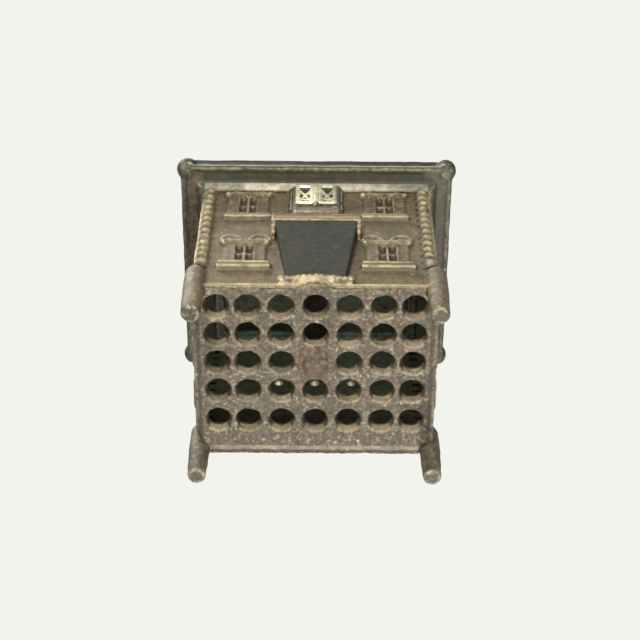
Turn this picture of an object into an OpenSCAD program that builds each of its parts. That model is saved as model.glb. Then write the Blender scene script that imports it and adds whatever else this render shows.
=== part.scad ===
// Cast iron still bank in the form of a two-storey house on four short legs.
// Front is -Y, up is +Z, and the origin is on the ground under the middle of the house.
// The walls are clamped between the roof and a perforated base plate, which one long
// screw draws up against their feet. Turning the screw out frees the plate.

/* [Walls] */
// Width of the house over its side walls
body_w = 91; // [86:1:100]
// Depth of the house over its front and back walls
body_d = 73; // [70:1:84]
// Height of the walls, base plate to cornice
wall_h = 82.5; // [78:0.5:92]
// Thickness of a cast wall
wall_t = 2.8; // [2.4:0.1:3.2]

/* [Legs] */
// Clear height under the walls
leg_h = 17; // [13:0.5:20]
// Radius of a leg at the level of the base
leg_r = 4; // [3.6:0.1:4.4]
// Radius of a leg at its foot
foot_r = 3.5; // [2.8:0.1:3.6]
// Height of a leg's round shoulder above the foot of the wall
shoulder_h = 15.5; // [14:0.5:22]

/* [Base plate] */
// Thickness of the perforated plate
plate_t = 5; // [4:0.5:6]
// Thickness of the flange that covers the feet of the walls
flange_h = 1.2; // [1:0.1:1.6]
// Diameter of a hole at its inner end
hole_d = 9.2; // [7:0.1:9.4]
// Diameter of a hole at its outer end
hole_mouth_d = 11.2; // [9.4:0.1:11.2]
// Distance of each column of holes from the middle
columns = [0, 12.6, 25.2, 36.6];
// Place of each row of holes, front to back
rows = [-28.9, -17, -4.9, 7.6, 20.9];
// Which row the screw stands in
screw_row = 2; // [2:1:2]

/* [Base screw] */
// Diameter of the screw's shank
shank_d = 5; // [4:0.1:6]
// Diameter of its low domed head
head_d = 10.4; // [9:0.1:11]
// Height of the head
head_h = 2.4; // [2:0.1:3]
// Length of the shank that reaches into the post
grip = 14; // [10:0.5:16]

/* [Roof] */
// How far the cornice stands out from the side walls
eaves_w = 9.3; // [8:0.1:11]
// How far the cornice stands out from the front and back walls
eaves_d = 9.8; // [8:0.1:11]
// Height of the cornice's plain outer band
cornice_h = 6.4; // [5:0.1:8]
// Radius of a corner knob
knob_r = 4.4; // [4:0.1:4.8]
// Height of the sloping roof
mansard_h = 37; // [30:1:40]
// How far the slopes lean in from foot to top
mansard_lean = 14; // [12:0.5:15]
// Height of the rim round the flat deck
rim_h = 6; // [4:0.5:8]
// Length of the coin slot
slot_l = 34; // [30:0.5:36]
// Width of the coin slot
slot_w = 4.8; // [4.6:0.1:5]

/* [Front] */
// Distance of each window from the middle
window_x = 27.1; // [25:0.1:28]
// Width of the bracket under the balcony, at its foot
corbel_w0 = 21.8; // [18:0.1:24]
// Width of the bracket under the balcony, at its top
corbel_w1 = 31.5; // [28:0.1:32]
// Width of the balcony
balcony_w = 34.5; // [33:0.1:36]
// Width of the bay window over its slanting cheeks
bay_w = 23.6; // [22:0.1:25]
// Width of the bay window's flat face
bay_face_w = 17; // [16:0.1:18]

/* [Hidden] */
$fn = 48;

plate_z = leg_h;
wall_z0 = leg_h + flange_h;
wall_z1 = leg_h + wall_h;
half_w = body_w / 2;
half_d = body_d / 2;
in_w = half_w - wall_t;
in_d = half_d - wall_t;

leg_x = half_w - 1;
leg_y = half_d - 1.1;
foot_edge = 1.2;
leg_play = 0.15;

plate_gap = 0.3;
plate_top = plate_z + plate_t;
notch_play = 0.2;
lobe_r = 10;
screw_y = rows[screw_row];
boss_r = 6.4;
boss_h = 0.8;
running = 0.05;
washer_t = 0.8;
washer_z = plate_z - boss_h;
head_z = washer_z - washer_t;
lug_gap = 0.1;

cornice_z = wall_z1;
cornice_top = cornice_z + cornice_h;
slab_w = half_w + eaves_w;
slab_d = half_d + eaves_d;
bed_out = 4.4;
bed_h = 3;
mouth_w = in_w - 4;
mouth_d = in_d - 4;
knob_x = slab_w - 2.4;
knob_y = slab_d - 2.4;

roof_foot_w = half_w + 2;
roof_foot_d = half_d + 2;
roof_top_z = cornice_top + mansard_h;
roof_t = 3;
deck_t = 3;
deck_z = roof_top_z - deck_t;
deck_play = 0.1;
slot_y = 8;

post_r = 4.5;
flange_r = 9;
flange_t = 3;
post_z0 = plate_top + 0.4;
post_z1 = deck_z;

corbel_z0 = leg_h + 3.8;
corbel_z1 = leg_h + 43.1;
corbel_p0 = 3.4;
corbel_p1 = 6.2;
balcony_t = 4.9;
balcony_z1 = corbel_z1 + balcony_t;
balcony_p = 6.2;
bay_z1 = wall_z1 - bed_h;
bay_p = 3.4;
light_w = 6.4;
light_x = 4.3;
light_z0 = bay_z1 - 19.5;
light_h = 18;
lug_d = 4;

// Points of an arc, from angle a0 to a1 about [cx, cy]
function arc(cx, cy, r, a0, a1, n = 8) =
    [for (i = [0:n]) let (a = a0 + (a1 - a0) * i / n) [cx + r * cos(a), cy + r * sin(a)]];

// A box given by its lowest and highest corners
module block(low, high) {
    translate(low) cube(high - low);
}

// A copy at each end of X
module both_sides() {
    children();
    mirror([1, 0, 0]) children();
}

// Leg profile: flat foot with a round edge, slight taper, domed shoulder
function leg_profile(grow) = let (r = leg_r + grow, f = foot_r + grow) concat(
    [[0, 0]],
    arc(f - foot_edge, foot_edge, foot_edge, -90, 0, 6),
    [[r, leg_h]],
    arc(0, leg_h + shoulder_h - r, r, 0, 90, 10));

// One leg in its place at the front right corner
module leg(grow = 0) {
    translate([leg_x, -leg_y, 0]) rotate_extrude() polygon(leg_profile(grow));
}

// All four legs, to clear the side walls round them
module leg_clearance() {
    for (turn = [0, 1]) mirror([0, turn, 0]) both_sides() leg(leg_play);
}

// Short lug inside a wall, just clear of the base plate, which keeps coins off its edge
module lug(size) {
    translate([-size[0] / 2, 0, plate_top + lug_gap]) cube([size[0], size[1], 3]);
}

// A front or back wall with its two legs, built facing -Y
module end_wall() {
    block([-half_w, -half_d, wall_z0], [half_w, -in_d, wall_z1]);
    both_sides() leg();
    both_sides() translate([26, -in_d, 0]) lug([8, 1.6]);
}

// Column of corner stones, each a flattened bead, from the leg's shoulder to the cornice
stone_n = 13;
stones_z = leg_h + shoulder_h + 0.5;
stone_pitch = (wall_z1 - bed_h - stones_z) / stone_n;
module corner_stones() {
    for (i = [0 : stone_n - 1])
        translate([half_w - 2.9, -half_d, stones_z + stone_pitch * (i + 0.5)])
            rotate([90, 0, 0]) cylinder(r = stone_pitch * 0.44, h = 1.1, $fn = 24);
}

// Raised surround of one window: two-step sill, lintel, jambs, glazing bars, two scroll ends
module window(z0, sill_h, sill_w, lintel_w, light_h) {
    foot = z0 + sill_h;
    top = foot + light_h;
    middle = foot + light_h * 0.5;
    block([-sill_w / 2, -half_d - 1.9, z0], [sill_w / 2, -half_d, z0 + sill_h * 0.55]);
    block([-sill_w / 2 + 0.5, -half_d - 1.3, z0], [sill_w / 2 - 0.5, -half_d, foot]);
    block([-lintel_w / 2, -half_d - 1.5, top], [lintel_w / 2, -half_d, top + 1.6]);
    both_sides() block([4.2, -half_d - 0.7, foot], [7.6, -half_d, top]);
    block([-0.6, -half_d - 0.6, foot], [0.6, -half_d + pane_depth, top]);
    block([-4.2, -half_d - 0.3, middle - 0.5], [4.2, -half_d + pane_depth, middle + 0.5]);
    both_sides() translate([5.5, -half_d, top + 3.2]) rotate([90, 0, 0])
        cylinder(r = 1.1, h = 1.1, $fn = 24);
}

// The two storeys of windows at one place along the wall
pane_depth = 0.9;
low_sill = [leg_h + 14.4, 4.6];
high_sill = [leg_h + 55.2, 3];
low_light = 15.2;
high_light = 17;
module window_pair(x) {
    translate([x, 0, 0]) {
        window(low_sill[0], low_sill[1], 20.4, 16.6, low_light);
        window(high_sill[0], high_sill[1], 18.8, 16.6, high_light);
    }
}

// The hollows of the same two windows
module pane_pair(x) {
    for (p = [[low_sill[0] + low_sill[1], low_light], [high_sill[0] + high_sill[1], high_light]])
        translate([x, 0, 0]) block([-4.2, -half_d - 1, p[0]], [4.2, -half_d + pane_depth, p[0] + p[1]]);
}

// An end wall with its stones and its four windows
module storeys() {
    difference() {
        end_wall();
        for (side = [-1, 1]) pane_pair(side * window_x);
    }
    both_sides() corner_stones();
    for (side = [-1, 1]) window_pair(side * window_x);
}

// Half-round lobe that swells forward round the middle hole of the front row
module lobe(z0, z1) {
    intersection() {
        translate([0, rows[0], z0]) cylinder(r = lobe_r, h = z1 - z0);
        block([-lobe_r, -half_d - lobe_r, z0], [lobe_r, -half_d + 1, z1]);
    }
}

module front_wall() {
    color([0.55, 0.5, 0.4]) difference() {
        union() {
            storeys();
            lobe(wall_z0, corbel_z0);
        }
        // Holes for the lugs cast behind the bracket and the bay window
        for (z = [corbel_z0 + 20, bay_z1 - 10]) translate([0, -half_d - 1, z])
            rotate([-90, 0, 0]) cylinder(d = lug_d, h = wall_t + 2);
    }
}

// The back wall has the same windows, a blind double door, and five small round openings
vent_d = 3.7;
vent_z = leg_h + 46.6;
door_z1 = leg_h + 34;
module back_wall() {
    color([0.53, 0.48, 0.39]) mirror([0, 1, 0]) difference() {
        union() {
            storeys();
            both_sides() {
                block([9.4, -half_d - 1.2, wall_z0], [12, -half_d, door_z1]);
                block([0.4, -half_d - 0.6, wall_z0 + 2], [9.4, -half_d, door_z1]);
            }
            block([-13.5, -half_d - 1.8, door_z1], [13.5, -half_d, door_z1 + 2.8]);
        }
        for (x = [-14.8, 0, 14.8]) translate([x, -half_d - 1, vent_z])
            rotate([-90, 0, 0]) cylinder(d = vent_d, h = wall_t + 2);
        for (x = [-7.4, 7.4]) translate([x, -half_d - 1, vent_z - 6.8])
            rotate([-90, 0, 0]) cylinder(d = vent_d, h = wall_t + 2);
    }
}

// Side wall, built on the right: two storeys of three blind windows
module side_wall() {
    difference() {
        union() {
            block([in_w, -in_d, wall_z0], [half_w, in_d, wall_z1]);
            for (y = [-19, 0, 19], z = [low_sill[0], high_sill[0]]) translate([0, y, 0]) {
                block([half_w, -6.5, z], [half_w + 1.5, 6.5, z + 2.2]);
                block([half_w, -5.2, z + 2.2], [half_w + 0.7, 5.2, z + 19.8]);
                block([half_w, -6, z + 19.8], [half_w + 1.3, 6, z + 21.5]);
            }
        }
        leg_clearance();
    }
    for (y = [-18, 18]) block([in_w - 1.6, y - 4, plate_top + lug_gap],
        [in_w, y + 4, plate_top + lug_gap + 3]);
}

module right_wall() {
    color([0.5, 0.46, 0.38]) side_wall();
}

module left_wall() {
    color([0.5, 0.46, 0.38]) mirror([1, 0, 0]) side_wall();
}

// Lug cast on the back of a front piece, which goes through the wall and is peened over
module rear_lug(z) {
    translate([0, -half_d, z]) rotate([-90, 0, 0]) cylinder(d = lug_d - 0.2, h = wall_t);
}

// Smooth bracket, wider and deeper towards the balcony
module corbel() {
    color([0.3, 0.3, 0.26]) {
        hull() {
            block([-corbel_w0 / 2, -half_d - corbel_p0, corbel_z0],
                [corbel_w0 / 2, -half_d, corbel_z0 + 0.5]);
            block([-corbel_w1 / 2, -half_d - corbel_p1, corbel_z1 - 0.5],
                [corbel_w1 / 2, -half_d, corbel_z1]);
        }
        rear_lug(corbel_z0 + 20);
    }
}

// Balcony slab with a block at each end that drops beside the bracket
module balcony() {
    color([0.6, 0.55, 0.45]) {
        block([-balcony_w / 2, -half_d - balcony_p - 0.3, corbel_z1],
            [balcony_w / 2, -half_d, balcony_z1]);
        both_sides() block([corbel_w1 / 2, -half_d - 4, corbel_z1 - 5],
            [balcony_w / 2, -half_d, corbel_z1]);
    }
}

// Plan of the bay window: flat face and two slanting cheeks
module bay_plan() {
    polygon([[-bay_w / 2, -half_d], [-bay_face_w / 2, -half_d - bay_p],
        [bay_face_w / 2, -half_d - bay_p], [bay_w / 2, -half_d]]);
}

// Bay window with two latticed lights on its flat face
module bay_window() {
    color([0.72, 0.68, 0.52]) {
        difference() {
            translate([0, 0, balcony_z1]) linear_extrude(bay_z1 - balcony_z1) bay_plan();
            for (side = [-1, 1]) translate([side * light_x, 0, light_z0])
                block([-light_w / 2 + 0.8, -half_d - bay_p - 1, 0.8],
                    [light_w / 2 - 0.8, -half_d - bay_p + 0.8, light_h - 0.8]);
        }
        for (side = [-1, 1], tilt = [-1, 1])
            translate([side * light_x, -half_d - bay_p + 0.8, light_z0 + light_h / 2])
                rotate([90, 0, 0]) rotate([0, 0, tilt * 62])
                    translate([-8.3, -0.4, 0]) cube([16.6, 0.8, 0.9]);
        rear_lug(bay_z1 - 10);
    }
}

// Hole that widens towards the underside
module hole(x, y) {
    translate([x, y, plate_z]) cylinder(d1 = hole_mouth_d, d2 = hole_d, h = plate_t);
    translate([x, y, plate_z - 1]) cylinder(d = hole_d, h = plate_t + 2);
}

// Perforated plate: a flange under the walls, a thicker middle that fits inside them, a boss
module base_plate() {
    color([0.56, 0.52, 0.46]) difference() {
        union() {
            block([-half_w, -half_d, plate_z], [half_w, half_d, wall_z0]);
            lobe(plate_z, wall_z0);
            block([-in_w + plate_gap, -in_d + plate_gap, plate_z],
                [in_w - plate_gap, in_d - plate_gap, plate_top]);
            translate([0, screw_y, washer_z]) cylinder(r = boss_r, h = boss_h + 1);
        }
        for (x = columns, side = [-1, 1], y = rows)
            if ((side > 0 || x > 0) && !(x == 0 && y == screw_y)) hole(side * x, y);
        translate([0, screw_y, washer_z - 1]) cylinder(d = shank_d + 2 * running, h = plate_t + 4);
        // Corners cut round the legs
        for (x = [-1, 1], y = [-1, 1]) translate([x * leg_x, y * leg_y, plate_z - 1])
            cylinder(r = leg_r + notch_play, h = plate_t + 2);
        for (x = [-1, 1], y = [-1, 1]) translate([x * (leg_x + leg_r), y * (leg_y + leg_r), plate_z - 1])
            translate([-leg_r, -leg_r, 0]) cube([2 * leg_r, 2 * leg_r, plate_t + 2]);
    }
}

module screw_washer() {
    color([0.42, 0.36, 0.3]) translate([0, screw_y, head_z]) difference() {
        cylinder(r = boss_r - 0.3, h = washer_t);
        translate([0, 0, -1]) cylinder(d = shank_d + 2 * running, h = washer_t + 2);
    }
}

// Screw with a low domed head and a worn slot
module base_screw() {
    dome_r = (head_d * head_d / 4 + head_h * head_h) / (2 * head_h);
    color([0.45, 0.36, 0.3]) translate([0, screw_y, head_z]) difference() {
        union() {
            intersection() {
                translate([0, 0, -head_h + dome_r]) sphere(r = dome_r);
                translate([0, 0, -head_h]) cylinder(d = head_d, h = head_h);
            }
            translate([0, 0, -0.5]) cylinder(d = shank_d, h = 0.5 + washer_t + boss_h + plate_t + grip);
        }
        block([-head_d, -0.6, -head_h - 1], [head_d, 0.6, -head_h + 0.7]);
    }
}

// Post that hangs from the deck and takes the screw in its lower end
module tie_post() {
    color([0.35, 0.32, 0.28]) translate([0, screw_y, 0]) difference() {
        union() {
            translate([0, 0, post_z0]) cylinder(r = post_r, h = post_z1 - post_z0);
            translate([0, 0, post_z1 - flange_t]) cylinder(r = flange_r, h = flange_t);
        }
        translate([0, 0, post_z0 - 1]) cylinder(d = shank_d + 4 * running, h = grip + 3);
    }
}

// One corner knob, a short round-ended drop
module knob() {
    translate([knob_x, knob_y, 0]) rotate_extrude() polygon(concat(
        [[0, cornice_z - 1]],
        arc(0, cornice_z - 1 + knob_r, knob_r, -90, 0, 8),
        arc(0, cornice_top + 1.6 - knob_r, knob_r, 0, 90, 8)));
}

// Full-width outline of the bed mould, a quarter round on each side of a wall of this half width
module bed_outline(half) {
    polygon(concat(
        [[half + bed_out, 1], [-half - bed_out, 1], [-half - bed_out, 0]],
        arc(-half, 0, bed_h, 180, 270),
        arc(half, 0, bed_h, 270, 360),
        [[half + bed_out, 0]]));
}

// Bed mould all round the top of the walls, mitred where its two directions meet
module bed_mould() {
    translate([0, 0, cornice_z]) difference() {
        intersection() {
            rotate([90, 0, 0]) linear_extrude(body_d * 2, center = true) bed_outline(half_w);
            rotate([90, 0, 90]) linear_extrude(body_w * 2, center = true) bed_outline(half_d);
        }
        block([-half_w, -half_d, -bed_h - 1], [half_w, half_d, 0]);
        block([-mouth_w, -mouth_d, -1], [mouth_w, mouth_d, 2]);
    }
}

// Cornice: outer band, flat soffit, bed mould, four corner knobs, and a wide mouth
module cornice() {
    color([0.5, 0.49, 0.42]) {
        difference() {
            union() {
                block([-slab_w, -slab_d, cornice_z], [slab_w, slab_d, cornice_top]);
                for (x = [0, 1], y = [0, 1]) mirror([x, 0, 0]) mirror([0, y, 0]) knob();
                // Rim that stands inside the walls and keeps them in place
                block([-in_w + 0.2, -in_d + 0.2, cornice_z - 2.5], [in_w - 0.2, in_d - 0.2, cornice_z + 1]);
            }
            block([-mouth_w, -mouth_d, cornice_z - 3], [mouth_w, mouth_d, cornice_top + 1]);
        }
        bed_mould();
    }
}

// Four-sided slope between the cornice and the deck
module slope(w, d, z0, z1, lean) {
    hull() {
        block([-w, -d, z0], [w, d, z0 + 0.01]);
        block([-w + lean, -d + lean, z1 - 0.01], [w - lean, d - lean, z1]);
    }
}

top_w = roof_foot_w - mansard_lean;
top_d = roof_foot_d - mansard_lean;
module mansard_roof() {
    color([0.4, 0.37, 0.32]) difference() {
        union() {
            slope(roof_foot_w, roof_foot_d, cornice_top, roof_top_z, mansard_lean);
            block([-roof_foot_w - 1.5, -roof_foot_d - 1.5, cornice_top],
                [roof_foot_w + 1.5, roof_foot_d + 1.5, cornice_top + 2]);
            block([-top_w - 2, -top_d - 2, roof_top_z - 3], [top_w + 2, top_d + 2, roof_top_z]);
            block([-top_w - 0.6, -top_d - 0.6, roof_top_z - 1],
                [top_w + 0.6, top_d + 0.6, roof_top_z + rim_h]);
        }
        slope(roof_foot_w - roof_t, roof_foot_d - roof_t, cornice_top - 1, deck_z - 2, mansard_lean);
        block([-top_w + 5, -top_d + 5, deck_z - 4], [top_w - 5, top_d - 5, deck_z + 1]);
        block([-top_w + roof_t, -top_d + roof_t, deck_z],
            [top_w - roof_t, top_d - roof_t, roof_top_z + rim_h + 1]);
    }
}

// Deck let into the top of the roof, with the coin slot and a low panel round it
module roof_deck() {
    color([0.42, 0.39, 0.33]) difference() {
        union() {
            block([-top_w + roof_t + deck_play, -top_d + roof_t + deck_play, deck_z],
                [top_w - roof_t - deck_play, top_d - roof_t - deck_play, roof_top_z]);
            translate([0, slot_y, 0])
                block([-slot_l / 2 - 3, -slot_w / 2 - 3, deck_z],
                    [slot_l / 2 + 3, slot_w / 2 + 3, roof_top_z + 1]);
        }
        translate([0, slot_y, 0])
            block([-slot_l / 2, -slot_w / 2, deck_z - 1], [slot_l / 2, slot_w / 2, roof_top_z + 2]);
    }
}

front_wall();
back_wall();
left_wall();
right_wall();
corbel();
balcony();
bay_window();
base_plate();
screw_washer();
base_screw();
tie_post();
cornice();
mansard_roof();
roof_deck();
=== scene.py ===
"""Looks of the cast iron still bank: worn castings, stage, lights and camera."""
import bmesh
import bpy
import numpy as np
from math import cos, pi, radians, sin
from mathutils import Matrix, Vector


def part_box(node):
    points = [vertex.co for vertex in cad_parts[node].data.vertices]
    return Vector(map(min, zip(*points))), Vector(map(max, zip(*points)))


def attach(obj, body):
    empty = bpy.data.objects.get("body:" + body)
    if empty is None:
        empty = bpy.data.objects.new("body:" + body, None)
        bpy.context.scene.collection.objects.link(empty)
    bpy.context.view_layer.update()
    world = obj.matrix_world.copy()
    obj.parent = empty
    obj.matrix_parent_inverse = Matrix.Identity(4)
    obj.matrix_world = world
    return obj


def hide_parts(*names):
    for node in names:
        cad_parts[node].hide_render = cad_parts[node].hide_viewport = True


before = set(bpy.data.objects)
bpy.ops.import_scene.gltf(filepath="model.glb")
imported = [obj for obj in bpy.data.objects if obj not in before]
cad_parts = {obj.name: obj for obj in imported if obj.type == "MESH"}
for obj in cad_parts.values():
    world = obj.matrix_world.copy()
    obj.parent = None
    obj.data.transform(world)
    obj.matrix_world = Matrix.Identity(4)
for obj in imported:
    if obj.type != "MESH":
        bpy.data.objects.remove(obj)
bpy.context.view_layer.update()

# Sizes in millimetres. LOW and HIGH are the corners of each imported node's box.
LOW = {name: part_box(name)[0] * 1000 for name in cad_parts}
HIGH = {name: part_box(name)[1] * 1000 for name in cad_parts}
SIDES = (-1, 1)
# Walls: half width, half depth, underside of the plate, foot and top of the walls
HALF_W, FRONT = HIGH["base_plate"].x, 36.5
PLATE_Z = 17.0
FOOT_Z = PLATE_Z + 1.2
TOP_Z = HIGH["left_wall"].z
# Cornice: underside, half width, half depth, top
SOFFIT_Z = TOP_Z
SLAB_W, SLAB_D = 54.8, 46.3
CORNICE_TOP = LOW["mansard_roof"].z
# Windows: distance from the middle, and heights of sill, foot and head on both floors
WINDOW_X = 27.1
LOW_SILL, LOW_FOOT, LOW_HEAD = PLATE_Z + 14.4, PLATE_Z + 19.0, PLATE_Z + 34.2
HIGH_SILL, HIGH_FOOT, HIGH_HEAD = PLATE_Z + 55.2, PLATE_Z + 58.2, PLATE_Z + 75.2
SIDE_WINDOW_Y = (-19, 0, 19)
# Corner stones: how many, where they start, distance from the middle
STONES, STONES_Z, STONE_X = 13, PLATE_Z + 16.0, 42.6
# Holes of the base plate, the screw's place, and the rings round each hole (height, radius, thickness)
COLUMNS, ROWS = (0, 12.6, 25.2, 36.6), (-28.9, -17, -4.9, 7.6, 20.9)
SCREW_Y = ROWS[2]
HOLE_RINGS = ((0.9, 5.5, 0.75), (2.4, 5.5, 1.0), (3.9, 5.3, 1.2))
# Vents of the back wall: x, z above the plate, radius; and the top of its door
VENTS, VENT_R = ((-14.8, 46.6), (0, 46.6), (14.8, 46.6), (-7.4, 39.8), (7.4, 39.8)), 2.6
DOOR_TOP = PLATE_Z + 34
# Roof: half width and depth at its foot, how far it leans in, rows of slates, their pitch and width
ROOF_W, ROOF_D, ROOF_LEAN = 47.5, 38.5, 14
SLATE_ROWS, SLATE_PITCH, SLATE_WIDTH = 7, 4.7, 5.2
# View: elevation and roll in degrees, distance in metres, sensor, lens and aim offsets in millimetres
ELEVATION, ROLL, DISTANCE = -57.6, 0.4, 0.6054
SENSOR, LENS, AIM_X, AIM_Y = 36, 90.815625, 0.253125, 3.04875


# ---------------------------------------------------------------- geometry
def noise(points, size, seed):
    """Smooth random field from -1 to 1 with features of this size."""
    lattice = np.random.default_rng(seed).uniform(-1, 1, (32, 32, 32))
    cell = np.floor(points / size).astype(int)
    part = points / size - cell
    part = part * part * (3 - 2 * part)
    total = np.zeros(len(points))
    for corner in np.ndindex(2, 2, 2):
        share = np.ones(len(points))
        for k in range(3):
            share *= part[:, k] if corner[k] else 1 - part[:, k]
        i, j, k = ((cell + corner) % 32).T
        total += share * lattice[i, j, k]
    return total


def template(make, **shape):
    """Points and faces of a plain shape, kept so that copies of it are cheap."""
    made = bmesh.new()
    make(made, **shape)
    points = np.array([v.co for v in made.verts])
    faces = [[v.index for v in f.verts] for f in made.faces]
    made.free()
    return points, faces


CUBE = template(bmesh.ops.create_cube, size=1)
BALL = template(bmesh.ops.create_uvsphere, u_segments=12, v_segments=8, radius=1)
STUB = template(bmesh.ops.create_cone, cap_ends=True, segments=10, radius1=1, radius2=1, depth=1)


class Casting:
    """Closed shells, in millimetres, that are fused into one cast surface."""

    def __init__(self, node):
        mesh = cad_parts[node].data
        self.node, self.marks, self.count = node, [], len(mesh.vertices)
        self.points = [np.array([v.co for v in mesh.vertices]) * 1000]
        self.faces = [list(p.vertices) for p in mesh.polygons]
        self.mark("inside", (1.6 - HALF_W, 1.6 - FRONT, PLATE_Z + 5.6),
                  (HALF_W - 1.6, FRONT - 1.6, CORNICE_TOP + 34), 1)

    def shape(self, kind, place):
        """Adds a copy of a template, placed by a matrix."""
        points, faces = kind
        turn = np.array(place)
        self.points.append(points @ turn[:3, :3].T + turn[:3, 3])
        self.faces += [[i + self.count for i in f] for f in faces]
        self.count += len(points)

    def block(self, low, high):
        """Box between two corners."""
        low, high = Vector(low), Vector(high)
        self.shape(CUBE, Matrix.Translation((low + high) / 2) @ Matrix.Diagonal((*(high - low), 1)))

    def slab(self, place, size):
        """Box of this size, placed by a matrix."""
        self.shape(CUBE, place @ Matrix.Diagonal((*size, 1)))

    def rod(self, a, b, r):
        """Round bar from a to b."""
        a, b = Vector(a), Vector(b)
        turn = (b - a).to_track_quat("Z", "Y").to_matrix().to_4x4()
        size = Matrix.Diagonal((r, r, (b - a).length, 1))
        self.shape(STUB, Matrix.Translation((a + b) / 2) @ turn @ size)

    def bead(self, at, radii, turn=Matrix()):
        """Ball with three radii."""
        self.shape(BALL, Matrix.Translation(at) @ turn @ Matrix.Diagonal((*radii, 1)))

    def tube(self, points, r):
        """Round bar along a line of points."""
        for a, b in zip(points, points[1:]):
            self.rod(a, b, r)
        for p in points:
            self.bead(p, (r, r, r))

    def border(self, w, d, z, r):
        """Round bar along a level rectangle of this half width and half depth."""
        self.tube([(w, d, z), (-w, d, z), (-w, -d, z), (w, -d, z), (w, d, z)], r)

    def mark(self, kind, low, high, value):
        """Gives a region a tone (above 0 for wear and painted highlights, below 0 for dirt and painted
        shade), rust, or the colour of the inside.
        """
        self.marks.append((kind, low, high, value))

    def bend(self, mesh, at, out, voxel):
        """How far each point stands out of its neighbours: above 0 on edges, below 0 in hollows."""
        ends = np.empty(len(mesh.edges) * 2, np.int32)
        mesh.edges.foreach_get("vertices", ends)
        a, b = ends.reshape(-1, 2).T
        count = len(at)
        share = np.maximum(np.bincount(a, minlength=count) + np.bincount(b, minlength=count), 1)

        def around(v):
            """Mean of each point's neighbours."""
            return (np.bincount(a, v[b], count) + np.bincount(b, v[a], count)) / share
        middle = np.stack([around(at[:, k]) for k in range(3)], axis=1)
        rise = ((at - middle) * out).sum(axis=1) / voxel
        for _ in range(2):
            rise = 0.5 * rise + 0.5 * around(rise)
        return np.clip(rise, -0.6, 0.35)

    def cast(self, body, slot, material, voxel, smooth, lump, lump_size, seed):
        """Fuses the shells and puts them in their node's place.

        voxel is the mesh size, smooth the rounds of smoothing, lump and lump_size the height and
        width of the seeded unevenness.
        """
        name = self.node + "_casting"
        rough = bpy.data.meshes.new(name)
        rough.from_pydata(np.concatenate(self.points), [], self.faces)
        maker = bpy.data.objects.new(name, rough)
        bpy.context.scene.collection.objects.link(maker)
        fuse = maker.modifiers.new("fuse", "REMESH")
        fuse.mode, fuse.voxel_size = "VOXEL", voxel
        soften = maker.modifiers.new("soften", "SMOOTH")
        soften.factor, soften.iterations = 0.5, smooth
        graph = bpy.context.evaluated_depsgraph_get()
        mesh = bpy.data.meshes.new_from_object(maker.evaluated_get(graph))
        bpy.data.objects.remove(maker)
        count = len(mesh.vertices)
        at, out = np.empty(count * 3), np.empty(count * 3, np.float32)
        mesh.vertices.foreach_get("co", at)
        mesh.vertex_normals.foreach_get("vector", out)
        at, out = at.reshape(-1, 3), out.reshape(-1, 3)
        layers = {kind: np.zeros(count) for kind in ("tone", "rust", "inside")}
        layers["bend"] = self.bend(mesh, at, out, voxel)
        ragged = at + 1.6 * np.stack([noise(at, 2.4, seed + k) for k in (1, 2, 3)], axis=1)
        for kind, low, high, value in self.marks:
            where = ragged if kind == "rust" else at
            above, below = where > np.array(low) - 0.15, where < np.array(high) + 0.15
            chosen = (above & below).all(axis=1)
            layers[kind][chosen] = value
        layers["inside"] *= (out[:, :2] * at[:, :2]).sum(axis=1) + 40 * out[:, 2] < 0
        for kind, values in layers.items():
            layer = mesh.attributes.new(kind, "FLOAT", "POINT")
            layer.data.foreach_set("value", values.astype(np.float32))
        swell = noise(at, lump_size, seed) + 0.5 * noise(at, lump_size * 0.37, seed + 7)
        at = (at + out * (lump * swell)[:, None]) * 0.001
        mesh.vertices.foreach_set("co", at.ravel())
        mesh.polygons.foreach_set("use_smooth", np.ones(len(mesh.polygons), bool))
        mesh.update()
        mesh.materials.clear()
        mesh.materials.append(material)
        piece = bpy.data.objects.new(name, mesh)
        bpy.context.scene.collection.objects.link(piece)
        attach(piece, body)
        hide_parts(self.node)


# ---------------------------------------------------------------- materials
INSIDE_PAINT = (142, 154, 126)


def linear(*levels):
    """Colour of a shader socket from red, green and blue levels of 0 to 255."""
    shares = [level / 255 for level in levels]
    return (*(c / 12.92 if c <= 0.04045 else ((c + 0.055) / 1.055) ** 2.4 for c in shares), 1)


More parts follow.
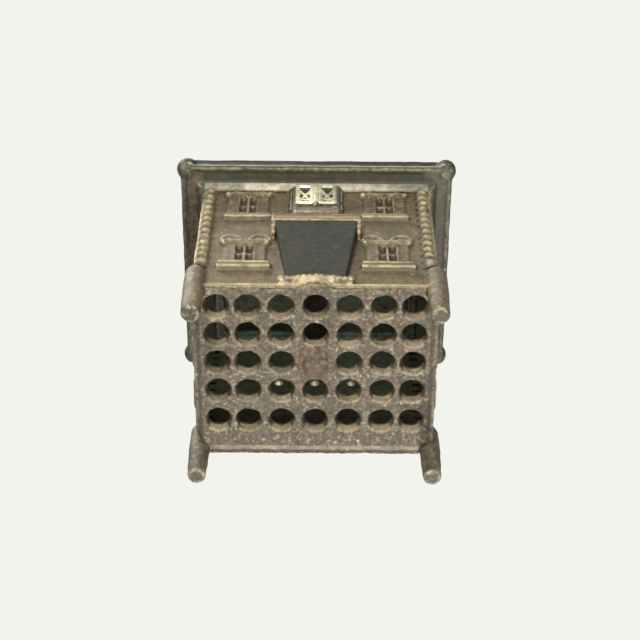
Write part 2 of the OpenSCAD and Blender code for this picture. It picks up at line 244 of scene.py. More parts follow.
class Shader:
    """Short ways to add and join the nodes of one material."""

    def __init__(self, name):
        self.material = bpy.data.materials.new(name)
        self.material.use_nodes = True
        self.tree = self.material.node_tree
        self.tree.nodes.clear()
        self.coords = self.add("ShaderNodeTexCoord").outputs["Object"]

    def add(self, kind, **values):
        """New node with these settings."""
        made = self.tree.nodes.new(kind)
        for key, value in values.items():
            setattr(made, key, value)
        return made

    def put(self, value, socket):
        """Links a socket, or sets it to a plain value."""
        if isinstance(value, bpy.types.NodeSocket):
            self.tree.links.new(value, socket)
        else:
            socket.default_value = value

    def noise(self, scale, detail, rough=0.6, twist=0.0):
        """Noise over the bank, from about 0.3 to 0.7."""
        made = self.add("ShaderNodeTexNoise")
        self.tree.links.new(self.coords, made.inputs["Vector"])
        settings = {"Scale": scale, "Detail": detail, "Roughness": rough, "Distortion": twist}
        for key, value in settings.items():
            made.inputs[key].default_value = value
        return made.outputs["Fac"]

    def fade(self, value, start, end, low=0.0, high=1.0):
        """Goes from low to high while value goes from start to end."""
        made = self.add("ShaderNodeMapRange")
        for socket, x in zip(made.inputs[:5], (value, start, end, low, high)):
            self.put(x, socket)
        return made.outputs["Result"]

    def math(self, kind, a, b, clamp=False):
        """Arithmetic on two numbers."""
        made = self.add("ShaderNodeMath", operation=kind, use_clamp=clamp)
        self.put(a, made.inputs[0])
        self.put(b, made.inputs[1])
        return made.outputs[0]

    def mix(self, share, a, b):
        """Colour a with this share of colour b."""
        made = self.add("ShaderNodeMix", data_type="RGBA")
        self.put(share, made.inputs[0])
        self.put(a, made.inputs[6])
        self.put(b, made.inputs[7])
        return made.outputs[2]


def cast_iron(name, paint, paint2, wear_and_highlight, dirt_and_shade, rust, wear=0.8, rusting=0.25, pits=0.75, grain=1.0,
              rough=0.5, metal=0.45, fleck=0.25, fineness=1.0):
    """Lacquered cast iron, rubbed on its edges, grimy in its hollows, with rust coming through; marked tone
    adds wear and painted highlights above 0, dirt and painted shade below 0.

    Colours are levels of 0 to 255; the bare-metal colour serves worn edges and painted highlights, the
    grime colour serves dirt in hollows and pits and painted shade. wear, rusting, pits and fleck are how
    much of the surface is rubbed bare on edges, rusty, pitted and rubbed in spots; fineness above 1 makes
    all of that smaller.
    """
    s = Shader(name)
    big, mid = s.noise(75, 5, 0.65, 0.6), s.noise(380 * fineness, 9, 0.75, 0.4)
    patch, fine = s.noise(190 * fineness, 7, 0.72, 1.2), s.noise(1900, 4, 0.65)
    edge = s.add("ShaderNodeAttribute", attribute_name="bend").outputs["Fac"]
    tone = s.add("ShaderNodeAttribute", attribute_name="tone").outputs["Fac"]
    red = s.add("ShaderNodeAttribute", attribute_name="rust").outputs["Fac"]
    inside = s.add("ShaderNodeAttribute", attribute_name="inside").outputs["Fac"]
    colour = s.mix(s.fade(big, 0.4, 0.6), linear(*paint), linear(*paint2))
    colour = s.mix(inside, colour, linear(*INSIDE_PAINT))
    colour = s.mix(s.fade(mid, 0.5, 0.64, 0, pits), colour, linear(*dirt_and_shade))
    rusted = s.math("MULTIPLY", red, s.fade(patch, 0.3, 0.55))
    rusty = s.math("ADD", s.fade(patch, 0.52, 0.64, 0, rusting), rusted, True)
    colour = s.mix(rusty, colour, linear(*rust))
    # Tone below 0 mixes in the grime colour: painted shade in the gaps between stones, under the bay's
    # lights, on the cornice's front and along the plate's seams; dirt and painted shade in the window
    # panes.
    tone_dirt_and_shade = s.math("MULTIPLY", s.math("MULTIPLY", tone, -1.0), s.fade(mid, 0.3, 0.5, 0.8, 1))
    hollow_dirt_and_shade = s.math("MAXIMUM", s.fade(edge, -0.01, -0.19, 0, 0.9), tone_dirt_and_shade, True)
    colour = s.mix(hollow_dirt_and_shade, colour, linear(*dirt_and_shade))
    ragged = s.math("ADD", edge, s.fade(mid, 0.2, 0.8, 0.15, -0.15))
    bright = s.math("MULTIPLY", s.fade(ragged, 0.03, 0.19), wear)
    rubbed = s.math("MULTIPLY", s.fade(mid, 0.68, 0.38, 0.3, 1), s.fade(big, 0.62, 0.42, 0.5, 1))
    # Tone above 0 mixes in the bare-metal colour: a painted highlight on the stones, the rear sides of the
    # plate's holes, the insides of the vents, the bed mould and the cornice's lower edge.
    bright = s.math("MAXIMUM", bright, s.math("MULTIPLY", tone, rubbed), True)
    flecks = s.math("MULTIPLY", s.fade(mid, 0.45, 0.36, 0, fleck), s.fade(hollow_dirt_and_shade, 0.3, 0))
    bright = s.math("MAXIMUM", bright, flecks)
    colour = s.mix(bright, colour, linear(*wear_and_highlight))
    body = s.add("ShaderNodeBsdfPrincipled")
    s.put(colour, body.inputs["Base Color"])
    bare = s.fade(bright, 0, 1, metal * 0.7, metal + 0.15)
    covered = s.math("MULTIPLY", s.math("ADD", rusty, inside), metal * 0.5)
    s.put(s.math("SUBTRACT", bare, covered, True), body.inputs["Metallic"])
    grainy = s.fade(fine, 0.3, 0.7, rough - 0.08, rough + 0.16)
    s.put(s.math("SUBTRACT", grainy, s.math("MULTIPLY", bright, 0.12)), body.inputs["Roughness"])
    bump = s.add("ShaderNodeBump")
    bump.inputs["Strength"].default_value = 0.9
    bump.inputs["Distance"].default_value = 0.0005 * grain
    s.put(s.math("SUBTRACT", s.math("MULTIPLY", fine, 0.35), mid), bump.inputs["Height"])
    s.put(bump.outputs[0], body.inputs["Normal"])
    out = s.add("ShaderNodeOutputMaterial")
    s.put(body.outputs[0], out.inputs[0])
    return s.material


FRONT_IRON = cast_iron(
    "front_iron", paint=(118, 103, 75), paint2=(98, 89, 67),
    wear_and_highlight=(212, 194, 152), dirt_and_shade=(44, 41, 31), rust=(108, 84, 62),
    wear=0.7, pits=0.55, grain=1.1, rough=0.42, metal=0.6, fleck=0.22)
WALL_IRON = cast_iron(
    "wall_iron", paint=(112, 100, 78), paint2=(96, 88, 70),
    wear_and_highlight=(190, 176, 142), dirt_and_shade=(44, 43, 34), rust=(118, 90, 70),
    pits=0.5, rough=0.46, metal=0.55)
DARK_IRON = cast_iron(
    "dark_iron", paint=(47, 44, 28), paint2=(38, 36, 24),
    wear_and_highlight=(96, 92, 72), dirt_and_shade=(22, 22, 16), rust=(60, 52, 41),
    wear=0.3, rusting=0.1, pits=0.8, grain=3.0, rough=0.7, metal=0.0, fleck=0.3)
GILT_IRON = cast_iron(
    "gilt_iron", paint=(122, 112, 88), paint2=(100, 94, 74),
    wear_and_highlight=(250, 243, 206), dirt_and_shade=(38, 38, 29), rust=(104, 84, 66),
    wear=0.8, pits=0.6, rough=0.42)
BASE_IRON = cast_iron(
    "base_iron", paint=(87, 77, 60), paint2=(75, 68, 52),
    wear_and_highlight=(200, 184, 150), dirt_and_shade=(40, 37, 27), rust=(118, 87, 67),
    wear=0.6, rusting=0.5, pits=0.9, grain=1.8, rough=0.46, metal=0.45, fleck=0.6, fineness=1.8)
RUST_IRON = cast_iron(
    "rust_iron", paint=(80, 69, 54), paint2=(68, 60, 47),
    wear_and_highlight=(172, 156, 128), dirt_and_shade=(36, 33, 25), rust=(92, 70, 55),
    wear=0.5, rusting=0.6, pits=0.95, grain=1.8, rough=0.5, metal=0.4, fleck=0.5, fineness=1.8)
CORNICE_IRON = cast_iron(
    "cornice_iron", paint=(68, 62, 42), paint2=(58, 56, 40),
    wear_and_highlight=(198, 190, 160), dirt_and_shade=(36, 37, 29), rust=(112, 90, 70),
    wear=0.35, rusting=0.25, pits=0.5, rough=0.48, metal=0.4, fleck=0.12)
ROOF_IRON = cast_iron(
    "roof_iron", paint=(80, 78, 61), paint2=(66, 67, 55),
    wear_and_highlight=(160, 152, 124), dirt_and_shade=(36, 36, 29), rust=(108, 84, 66),
    wear=0.7, rusting=0.35, rough=0.44)


# ---------------------------------------------------------------- castings
def dress_window(c, at, foot, head, sill, half_sill, arched):
    """Slats, lintel, sill and hoods of one window; at(u, out, z) is a point on its wall."""
    for s in SIDES:
        for k in range(7):
            z = foot + (head - foot) * (k + 0.5) / 7
            c.rod(at(s * 4.4, 0.55, z), at(s * 7.4, 0.55, z), 0.39)
        for u, r in ((3.9, 0.75), (7.6, 0.42)):
            c.rod(at(s * u, 0.3, foot), at(s * u, 0.3, head), r)
        c.bead(at(s * 8.4, 0.9, head + 0.5), (1.3, 1.3, 1.3))
    c.rod(at(-half_sill, 1.6, sill + 0.6), at(half_sill, 1.6, sill + 0.6), 0.55)
    c.rod(at(-half_sill + 0.4, 1.3, foot - 0.3), at(half_sill - 0.4, 1.3, foot - 0.3), 0.6)
    c.rod(at(-8.2, 1.4, head + 1.3), at(8.2, 1.4, head + 1.3), 0.5)
    c.rod(at(-4.2, -0.2, head - 0.6), at(4.2, -0.2, head - 0.6), 0.8)
    c.rod(at(-4.2, -0.2, foot + 0.5), at(4.2, -0.2, foot + 0.5), 0.8)
    for s in SIDES:
        if arched:
            turn = [pi * k / 8 for k in range(9)]
            hood = [at(s * 3.3 + 2.6 * cos(a), 0.9, head - 1.5 + 2.6 * sin(a)) for a in turn]
            c.tube(hood, 0.5)
        else:
            outer = ((1.6, 3.2), (3, 5.4), (5.2, 6.6), (7.6, 6), (9.3, 3.6))
            inner = ((2.9, 2.8), (4.4, 4.4), (6.4, 4.5), (7.8, 3))
            c.tube([at(s * u, 0.6, head + h) for u, h in outer], 0.7)
            c.tube([at(s * u, 0.5, head + h) for u, h in inner], 0.45)


def mark_window(c, box, foot, head, sill, half_sill):
    """Wear on a window's sill and lintel, dirt and painted shade in its recessed panes; box(...) is a
    region on its wall.
    """
    # Dirt and painted shade: the recessed panes are darkened as if shaded by the lintel above.
    c.mark("tone", *box(-4.2, 4.2, -1.2, -0.3, foot, head), -0.65)
    c.mark("tone", *box(-half_sill, half_sill, 0.9, 3, foot - 1.0, foot + 0.3), 0.75)
    c.mark("tone", *box(-half_sill, half_sill, 1.5, 3, sill, sill + 0.9), 0.45)
    c.mark("tone", *box(-9.5, 9.5, 1.2, 3, head + 0.7, head + 2), 0.5)


def storey_wall(node, face):
    """Front (face -1) or back (face 1) wall with its legs, stones and dressed windows."""
    c = Casting(node)
    pitch = (TOP_Z - 3 - STONES_Z) / STONES
    floors = ((LOW_FOOT, LOW_HEAD, LOW_SILL, 10.2, False), (HIGH_FOOT, HIGH_HEAD, HIGH_SILL, 9.4, True))
    for s in SIDES:
        turn = Matrix.Rotation(radians(-16 * s * face), 4, "Y")
        stone, edge = s * STONE_X, s * (HALF_W - 0.4)
        for k in range(STONES):
            z = STONES_Z + pitch * (k + 0.5)
            gap = z - pitch / 2
            c.bead((stone, face * (FRONT + 0.5), z), (2.5, 2.5, 1.7), turn)
            # Painted shade in the gap between stones.
            c.mark("tone", (stone - 3, -40, gap - 0.6), (stone + 2.2, 40, gap + 0.6), -1)
            # Painted highlight on each stone.
            c.mark("tone", (stone - 2, -40, z - 0.9), (stone + 1, 40, z + 1.2), 0.45)
        c.rod((edge, face * FRONT, STONES_Z - 1), (edge, face * FRONT, TOP_Z - 3), 0.75)
        c.mark("tone", (s * HALF_W - 0.6, -90, STONES_Z + 3), (s * HALF_W + 0.9, 90, TOP_Z), 0.6)
        leg = sorted((s * 40, s * 49))
        c.mark("tone", (leg[0], -42, -1), (leg[1], 42, 1.2), -0.8)
        c.mark("tone", (leg[0], 30, 1.4), (leg[1], 42, PLATE_Z), -0.3)
        for foot, head, sill, half, arched in floors:
            def at(u, out, z):
                return (s * WINDOW_X + u, face * (FRONT + out), z)

            def box(u0, u1, out0, out1, z0, z1):
                y = sorted((face * (FRONT + out0), face * (FRONT + out1)))
                return (s * WINDOW_X + u0, y[0], z0), (s * WINDOW_X + u1, y[1], z1)
            dress_window(c, at, foot, head, sill, half, arched)
            mark_window(c, box, foot, head, sill, half)
    return c


def front_wall():
    """Front casting with a worn lip along its foot and an arched lip round the plate's front hole."""
    c = storey_wall("front_wall", -1)
    lip_z = FOOT_Z + 1.2
    for s in SIDES:
        x0, x1 = sorted((s * 6, s * 41))
        c.rod((s * 6.2, -FRONT - 0.2, lip_z), (s * 41, -FRONT - 0.2, lip_z), 0.8)
        c.mark("tone", (x0, -40, lip_z - 1), (x1, -FRONT - 0.7, lip_z + 0.3), 0.5)
    arch = [radians(a) for a in range(-142, -37, 8)]
    c.tube([(10 * cos(a), ROWS[0] + 10 * sin(a), lip_z + 0.3) for a in arch], 1.0)
    c.mark("tone", (-8, -41, FOOT_Z + 0.6), (8, -FRONT - 1.6, FOOT_Z + 2.2), 0.6)
    for k in range(13):
        x = (k - 6) * 2.1
        at = (x, -FRONT - 2.3 - 0.5 * cos(x / 4), PLATE_Z + 4.1 + 0.4 * sin(3 * x))
        c.bead(at, (1.7, 1.5, 1.3 + 0.3 * cos(2 * x)))
    c.cast("house", "iron_front", FRONT_IRON, 0.48, 2, 0.13, 4.5, 11)


def back_wall():
    """Back casting with a panelled door and ringed vents, with a painted highlight inside each vent."""
    c = storey_wall("back_wall", 1)
    for s in SIDES:
        y = FRONT + 0.8
        for z0, z1 in ((22, 33), (35, 48)):
            x0, x1 = s * 2, s * 7.8
            c.tube([(x0, y, z0), (x1, y, z0), (x1, y, z1), (x0, y, z1), (x0, y, z0)], 0.5)
        c.bead((s * 1.4, FRONT + 1.2, 34), (0.8, 0.9, 0.8))
        c.rod((s * 13, FRONT + 1.5, DOOR_TOP + 0.6), (0, FRONT + 1.5, DOOR_TOP + 0.6), 0.6)
    turn = [2 * pi * k / 14 for k in range(15)]
    for x, up in VENTS:
        z = PLATE_Z + up
        c.tube([(x + VENT_R * cos(a), FRONT + 0.1, z + VENT_R * sin(a)) for a in turn], 0.45)
        # Painted highlight: the inside of each vent is made pale, as if lit through from behind.
        c.mark("tone", (x - 2.2, FRONT - 2.6, z - 2.2), (x + 2.2, FRONT + 0.3, z + 2.2), 1.0)
    c.cast("house", "iron_walls", WALL_IRON, 0.64, 2, 0.13, 4.5, 21)


def side_wall(node, side):
    """Side casting with shuttered windows on two floors."""
    c = Casting(node)
    for y in SIDE_WINDOW_Y:
        for sill in (LOW_SILL, HIGH_SILL):
            def at(u, out, z):
                return (side * (HALF_W + out), y + u, z)
            for s in SIDES:
                c.rod(at(s * 4.8, 0.7, sill + 2), at(s * 4.8, 0.7, sill + 19.8), 0.5)
                c.bead(at(s * 6, 0.9, sill + 20.4), (1, 1, 1))
            c.rod(at(0, 0.7, sill + 2), at(0, 0.7, sill + 19.8), 0.5)
            for k in range(1, 4):
                c.rod(at(-5, 0.6, sill + 2 + 4.45 * k), at(5, 0.6, sill + 2 + 4.45 * k), 0.4)
            c.rod(at(-6.4, 1.3, sill + 1.8), at(6.4, 1.3, sill + 1.8), 0.5)
            c.rod(at(-6, 1.1, sill + 21), at(6, 1.1, sill + 21), 0.5)
            x0, x1 = sorted((side * (HALF_W + 0.9), side * (HALF_W + 3)))
            c.mark("tone", (x0, y - 7, sill + 1), (x1, y + 7, sill + 2.6), 0.6)
    if side < 0:
        c.mark("rust", (-60, -50, 0), (-40, 50, 120), 0.5)
    c.cast("house", "iron_walls", WALL_IRON, 0.66, 2, 0.13, 4.5, 31 + side)


def corbel():
    """Plain dark bracket under the balcony."""
    c = Casting("corbel")
    c.cast("house", "iron_dark", DARK_IRON, 0.45, 5, 0.06, 6, 41)


def balcony():
    """Moulded slab with a dropped block at each end."""
    c = Casting("balcony")
    low, high = LOW["balcony"], HIGH["balcony"]
    floor = high.z - 4.9
    x0, x1, y = low.x + 0.4, high.x - 0.4, low.y + 0.4
    for z, r in ((floor + 0.6, 0.6), (high.z - 0.6, 0.7)):
        c.tube([(x0, -FRONT, z), (x0, y, z), (x1, y, z), (x1, -FRONT, z)], r)
    for s in SIDES:
        c.bead((s * (high.x - 0.9), -FRONT - 3.4, floor - 3.8), (1.1, 1.5, 1.8))
        c.bead((s * (high.x - 0.9), -FRONT - 4.2, floor - 1.2), (1.2, 1.2, 1.2))
    c.mark("rust", (low.x - 1, low.y - 1, low.z - 1), (high.x + 1, high.y, high.z + 1), 0.6)
    c.mark("tone", (low.x - 1, low.y - 1, high.z - 3.2), (high.x + 1, low.y + 0.3, high.z - 1.8), 0.4)
    c.mark("tone", (low.x - 1, low.y - 1, low.z - 1), (-16, -FRONT - 3.6, floor), 0.3)
    c.mark("tone", (16, low.y - 1, low.z - 1), (high.x + 1, -FRONT - 3.6, floor), 0.25)
    c.cast("house", "iron_front", FRONT_IRON, 0.36, 2, 0.12, 2.2, 51)


def bay_window():
    """Bay with two pale latticed lights."""
    c = Casting("bay_window")
    low, high = LOW["bay_window"], HIGH["bay_window"]
    face = -FRONT - 3.4
    z0, z1 = high.z - 19.5, high.z - 1.5
    for s in SIDES:
        x0, x1 = s * 1.6, s * 7.3
        y, foot = face - 0.1, z0 + 3.4
        c.tube([(x0, y, foot), (x1, y, foot), (x1, y, z1), (x0, y, z1), (x0, y, foot)], 0.85)
        c.rod((x0, face + 0.2, z0 + 4), (x1, face + 0.2, z1 - 2), 0.6)
        c.rod((x0, face + 0.2, z1 - 2), (x1, face + 0.2, z0 + 4), 0.6)
        c.rod((x0, face + 0.1, z0 + 6.4), (x1, face + 0.1, z0 + 6.4), 0.5)
        c.rod((s * 9.9, face + 1.4, z0), (s * 9.9, face + 1.4, high.z - 1), 0.5)
        left, right = sorted((s * 1, s * 8.2))
        c.mark("tone", (left, face - 3, z0 + 2.4), (right, face - 0.3, z1 + 1), 1.7 if s < 0 else 0.7)
    c.rod((-0.4, face - 0.1, z0 + 1), (-0.4, face - 0.1, z1), 0.8)
    head = high.z - 0.8
    c.tube([(low.x + 0.5, -FRONT - 0.4, head), (-8.5, face, head), (8.5, face, head),
            (high.x - 0.5, -FRONT - 0.4, head)], 0.7)
    c.rod((-8.5, face, z0 - 4.5), (8.5, face, z0 - 4.5), 0.6)
    c.mark("tone", (-1.2, face - 3, z0 + 4), (0.5, face - 0.2, z1), 1.6)
    c.mark("tone", (-7.4, face + 0.3, z0 - 1), (7.4, face + 3, z0 + 19), -0.8)
    # Painted shade in the strip under the two lights.
    c.mark("tone", (-8.4, face - 3, z0), (8.4, face + 3, z0 + 2.4), -0.7)
    for x0, x1 in ((-13, -9.4), (9.4, 13)):
        c.mark("tone", (x0, -45, low.z), (x1, -30, z1), -0.7)
    c.mark("tone", (-13, face - 3, high.z - 1), (13, -FRONT - 2.6, high.z + 1), 0.5)
    c.mark("rust", (-13, -45, low.z - 1), (13, -30, z0 - 1), 1.0)
    c.cast("house", "iron_gilt", GILT_IRON, 0.32, 2, 0.1, 2.4, 61)


def base_plate():
    """Perforated plate with rounded holes, a raised patch round the screw and a rib along the back."""
    c = Casting("base_plate")
    turn = [2 * pi * k / 24 for k in range(25)]
    for x in COLUMNS:
        for s in SIDES:
            for y in ROWS:
                if (x or s > 0) and (x or y != SCREW_Y):
                    u = s * x
                    for up, wide, r in HOLE_RINGS:
                        c.tube([(u + wide * cos(a), y + wide * sin(a), PLATE_Z + up) for a in turn], r)
                    # Painted highlight on the rear inner side of each hole.
                    c.mark("tone", (u - 3.6, y + 3.2, PLATE_Z + 0.3), (u + 3.6, y + 5.9, PLATE_Z + 3), 0.55)
    patch = ((0, 0, 7.2, 1.3), (3, 2.4, 4.6, 1.5), (-3.4, -1, 4.2, 1.4), (-1, 4.2, 3.6, 1.3),
             (2, -4, 3.8, 1.4))
    for x, y, r, h in patch:
        c.bead((x, SCREW_Y + y, PLATE_Z + 0.3), (r, r * 0.92, h))
    c.mark("rust", (-8, SCREW_Y - 7, 0), (8, SCREW_Y + 7, PLATE_Z + 1), 0.35)
    c.tube([(40, 33.4, PLATE_Z + 0.3), (-40, 33.4, PLATE_Z + 0.3)], 0.8)
    c.mark("tone", (-41, 32.8, 0), (41, 34.2, PLATE_Z + 1), 0.35)
    # Painted shade along the back edge of the plate.
    c.mark("tone", (-41, 34.6, 0), (41, 35.6, PLATE_Z + 1), -0.6)
    # Painted shade along the seam between the plate and each side wall.
    for s in SIDES:
        c.mark("tone", (s * 43.6 - 0.5, -28, 0), (s * 43.6 + 0.5, 30, PLATE_Z + 1), -0.6)
    c.cast("plate", "iron_base", BASE_IRON, 0.48, 14, 0.26, 2.2, 71)


def screw():
    """Rusted washer and screw head, both lumpy."""
    c = Casting("screw_washer")
    z = LOW["screw_washer"].z + 0.35
    for k in range(7):
        a = 2 * pi * k / 7
        c.bead((5 * cos(a), SCREW_Y + 5 * sin(a), z), (1.9 - 0.15 * k, 1.2 + 0.1 * k, 0.75))
    c.mark("rust", (-9, -20, 0), (9, 20, 30), 0.4)
    c.cast("washer", "iron_rust", RUST_IRON, 0.3, 3, 0.1, 1.9, 81)
    c = Casting("base_screw")
    low = LOW["base_screw"]
    lumps = ((0.9, 0.7, 1.3, 2.6), (-2.2, -0.9, 1.6, 2.3), (3.2, -1.8, 1.7, 1.9), (-1.4, 3, 1.6, 2.1))
    for x, y, z, r in lumps:
        c.bead((x, SCREW_Y + y, low.z + z), (r, r * 0.9, 1.35))
    c.mark("rust", (-9, -20, 0), (9, 20, 17), 0.35)
    c.cast("screw", "iron_rust", RUST_IRON, 0.3, 3, 0.2, 1.8, 83)


def cornice():
    """Slab with beads along its edge, a bed mould with a painted highlight, a front in painted shade and
    rust under its left side.
    """
    c = Casting("cornice")
    c.border(SLAB_W, SLAB_D, SOFFIT_Z + 1.5, 0.5)
    c.border(SLAB_W - 0.3, SLAB_D - 0.3, SOFFIT_Z + 0.2, 0.5)
    c.border(SLAB_W, SLAB_D, CORNICE_TOP - 0.5, 0.5)
    lip0, lip1 = SOFFIT_Z - 0.45, SOFFIT_Z + 1
    for s in SIDES:
        x0, x1 = sorted((s * SLAB_W, s * (SLAB_W - 1.5)))
        y0, y1 = sorted((s * SLAB_D, s * (SLAB_D - 1.5)))
        c.block((-SLAB_W, y0, lip0), (SLAB_W, y1, lip1))
        c.block((x0, -SLAB_D, lip0), (x1, SLAB_D, lip1))
    low, high = SOFFIT_Z - 0.4, SOFFIT_Z + 0.4
    c.mark("tone", (-SLAB_W + 2, -SLAB_D + 2, low), (SLAB_W - 2, SLAB_D - 2, high), -0.35)
    c.mark("rust", (-52.5, 3 - SLAB_D, SOFFIT_Z - 1), (-HALF_W, 60, high), 0.7)
    # The bed mould is darkened a little all round, then given a painted highlight that is brightest in the
    # middle of its front.
    bed0, bed1 = SOFFIT_Z - 5, SOFFIT_Z - 0.6
    c.mark("tone", (-50.5, -41.2, bed0), (50.5, 41.2, bed1), -0.2)
    for x0, x1, wear_and_highlight in ((-45, 45, 0.45), (-40, 34, 0.7), (-31, 14, 0.95)):
        c.mark("tone", (x0, -41.2, bed0), (x1, -30, bed1), wear_and_highlight)
    edge = -SLAB_D - 2
    # Painted shade on the front face of the slab.
    c.mark("tone", (-SLAB_W - 2, edge, SOFFIT_Z + 2.1), (SLAB_W + 2, -SLAB_D + 0.3, CORNICE_TOP - 0.6), -1)
    # Painted highlight along the slab's lower front edge.
    c.mark("tone", (-SLAB_W + 3, edge, SOFFIT_Z + 1.1), (SLAB_W - 3, -SLAB_D - 0.25, SOFFIT_Z + 1.9), 0.75)
    c.mark("tone", (-41, -32, SOFFIT_Z - 4), (41, 32, CORNICE_TOP + 1), -0.7)
    c.cast("house", "iron_cornice", CORNICE_IRON, 0.56, 2, 0.13, 4.5, 91)


def slate_course(c, out, along, reach, half, height, row):
    """One row of lapped slates on the roof slope that faces out."""
    up = (Vector((0, 0, height)) - out * ROOF_LEAN).normalized()
    face = along.cross(up)
    if face.dot(out) < 0:
        face = -face
    turn = Matrix((along, up, face)).transposed().to_4x4() @ Matrix.Rotation(radians(7), 4, "X")
    v = 4.4 + row * SLATE_PITCH
    room = half - ROOF_LEAN * v / (height * 1.07) - 1.2
    count = int(2 * room / SLATE_WIDTH)
    width = 2 * room / (count + 0.5)
    foot = out * reach + Vector((0, 0, CORNICE_TOP)) + up * v + face * 0.35
    for i in range(count):
        u = (i + 0.5 - count / 2 + (0.25 if row % 2 else -0.25)) * width
        c.slab(Matrix.Translation(foot + along * u) @ turn, (width - 0.8, 4.9, 1.3))


def mansard_roof():
    """Slated slopes with ribs on the hips, a bead round the foot and a beaded rim."""
    c = Casting("mansard_roof")
    height = HIGH["roof_deck"].z - 1 - CORNICE_TOP
    for side in SIDES:
        for row in range(SLATE_ROWS):
            slate_course(c, Vector((0, side, 0)), Vector((1, 0, 0)), ROOF_D, ROOF_W, height, row)
        for row in range(SLATE_ROWS):
            slate_course(c, Vector((side, 0, 0)), Vector((0, 1, 0)), ROOF_W, ROOF_D, height, row)
    for x in SIDES:
        for y in SIDES:
            c.rod((x * ROOF_W, y * ROOF_D, CORNICE_TOP + 1),
                  (x * (ROOF_W - ROOF_LEAN), y * (ROOF_D - ROOF_LEAN), CORNICE_TOP + height - 1), 1.1)
    c.border(ROOF_W + 1, ROOF_D + 1, CORNICE_TOP + 1.8, 0.8)
    rim_w, rim_d, rim_z = ROOF_W - ROOF_LEAN + 0.6, ROOF_D - ROOF_LEAN + 0.6, HIGH["mansard_roof"].z
    c.border(rim_w + 1, rim_d + 1, rim_z - 8, 0.7)
    c.border(rim_w - 0.6, rim_d - 0.6, rim_z - 0.4, 0.8)
    for s in SIDES:
        for k in range(15):
            c.bead(((k - 7) * 4.5, s * rim_d, rim_z - 3), (1.5, 0.9, 1.5))
        for k in range(10):
            c.bead((s * rim_w, (k - 4.5) * 4.6, rim_z - 3), (0.9, 1.5, 1.5))
    c.cast("house", "iron_roof", ROOF_IRON, 0.68, 2, 0.12, 4, 101)


def roof_deck():
    """Flat deck with a bead round the coin slot and another round the deck."""
    c = Casting("roof_deck")
    z = HIGH["roof_deck"].z
    for half, y0, y1, down, r in ((20, 3, 13, 0.4, 0.6), (26, -17, 17, 1, 0.7)):
        c.tube([(half, y0, z - down), (-half, y0, z - down), (-half, y1, z - down), (half, y1, z - down),
                (half, y0, z - down)], r)
    c.cast("house", "iron_roof", ROOF_IRON, 0.62, 2, 0.12, 3.5, 111)


def tie_post():
    """Post that takes the screw, rubbed by coins."""
    c = Casting("tie_post")
    c.mark("tone", (-20, -30, 0), (20, 30, 150), 0.45)
    c.cast("house", "iron_roof", ROOF_IRON, 0.9, 2, 0.12, 4, 121)


# ---------------------------------------------------------------- stage, light and camera
def floor():
    """Pale floor that is seen from above only, so that the bank can be looked at from below."""
    mesh = bpy.data.meshes.new("floor")
    mesh.from_pydata([(-2, -2, 0), (2, -2, 0), (2, 2, 0), (-2, 2, 0)], [], [(0, 1, 2, 3)])
    s = Shader("floor")
    body = s.add("ShaderNodeBsdfDiffuse")
    body.inputs[0].default_value = (0.8, 0.8, 0.78, 1)
    clear = s.add("ShaderNodeBsdfTransparent")
    choice = s.add("ShaderNodeMixShader")
    s.put(s.add("ShaderNodeNewGeometry").outputs["Backfacing"], choice.inputs[0])
    s.put(body.outputs[0], choice.inputs[1])
    s.put(clear.outputs[0], choice.inputs[2])
    out = s.add("ShaderNodeOutputMaterial")
    s.put(choice.outputs[0], out.inputs[0])
    mesh.materials.append(s.material)
    ground = bpy.data.objects.new("floor", mesh)
    bpy.context.scene.collection.objects.link(ground)
    ground.visible_shadow = ground.visible_diffuse = ground.visible_glossy = False


def light(name, at, size, energy):
    """Square lamp, in metres and watts, that faces the middle of the bank."""
    lamp = bpy.data.lights.new(name, "AREA")
    lamp.size, lamp.energy = size, energy
    holder = bpy.data.objects.new(name, lamp)
    bpy.context.scene.collection.objects.link(holder)
    holder.location = at
    holder.rotation_euler = (Vector((0, 0, 0.07)) - Vector(at)).to_track_quat("-Z", "Y").to_euler()


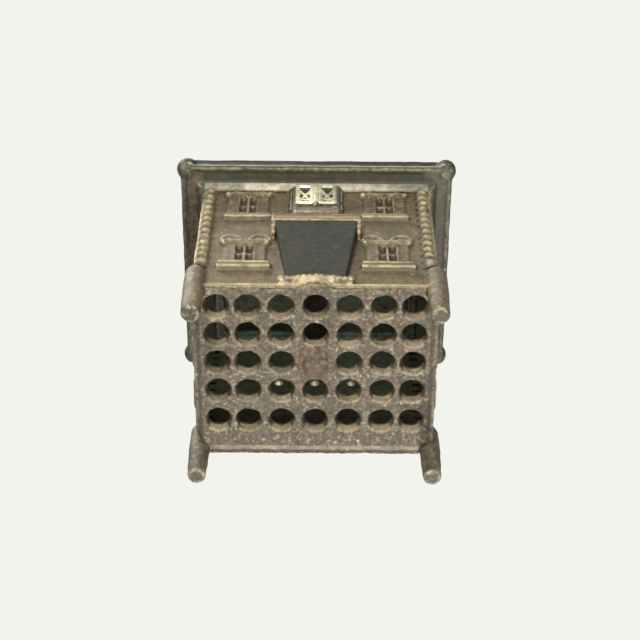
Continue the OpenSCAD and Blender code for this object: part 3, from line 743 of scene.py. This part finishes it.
def backdrop():
    """Pale sheet far behind the bank on the line of sight; it lights nothing."""
    centre, across, over = Vector((0, 0.45, 0.72)), Vector((0.5, 0, 0)), Vector((0, -0.848, 0.53)) * 0.4
    corners = [centre + across * x + over * y for x, y in ((-1, -1), (1, -1), (1, 1), (-1, 1))]
    mesh = bpy.data.meshes.new("backdrop")
    mesh.from_pydata(corners, [], [(0, 1, 2, 3)])
    s = Shader("backdrop")
    glow = s.add("ShaderNodeEmission")
    glow.inputs[0].default_value = linear(243, 243, 237)
    out = s.add("ShaderNodeOutputMaterial")
    s.put(glow.outputs[0], out.inputs[0])
    mesh.materials.append(s.material)
    sheet = bpy.data.objects.new("backdrop", mesh)
    bpy.context.scene.collection.objects.link(sheet)
    sheet.visible_shadow = sheet.visible_diffuse = sheet.visible_glossy = False


def surroundings():
    """Even grey room, four lamps and a plain view transform."""
    world = bpy.data.worlds.new("room")
    bpy.context.scene.world = world
    world.use_nodes = True
    sky = world.node_tree.nodes["Background"]
    sky.inputs[0].default_value = (0.80, 0.82, 0.82, 1)
    sky.inputs[1].default_value = 0.5
    light("key", (-0.16, -0.72, -0.28), 0.2, 8)
    light("low", (0.12, -0.12, -0.8), 0.4, 7)
    light("top", (-0.4, -0.25, 0.9), 0.6, 6)
    light("rear", (0.2, 0.7, -0.4), 0.3, 8)
    bpy.context.scene.view_settings.view_transform = "Standard"


def camera():
    """Looks up at the front and the base from below, as in the photograph."""
    elevation = radians(ELEVATION)
    ahead = Vector((0, cos(elevation), -sin(elevation)))
    over = Vector((0, sin(elevation), cos(elevation)))
    right = Vector((1, 0, 0))
    aim = (ahead + right * (AIM_X / LENS) + over * (AIM_Y / LENS)).normalized()
    x = (right + right.dot(aim) * -aim).normalized()
    turn = Matrix((x, (-aim).cross(x), -aim)).transposed() @ Matrix.Rotation(radians(ROLL), 3, "Z")
    lens = bpy.data.cameras.new("camera")
    lens.sensor_width, lens.lens, lens.clip_start = SENSOR, LENS, 0.01
    eye = bpy.data.objects.new("camera", lens)
    bpy.context.scene.collection.objects.link(eye)
    eye.location = Vector((0, 0, PLATE_Z / 1000)) - ahead * DISTANCE
    eye.rotation_euler = turn.to_euler()
    bpy.context.scene.camera = eye


front_wall()
back_wall()
side_wall("left_wall", -1)
side_wall("right_wall", 1)
corbel()
balcony()
bay_window()
base_plate()
screw()
cornice()
mansard_roof()
roof_deck()
tie_post()
floor()
backdrop()
surroundings()
camera()
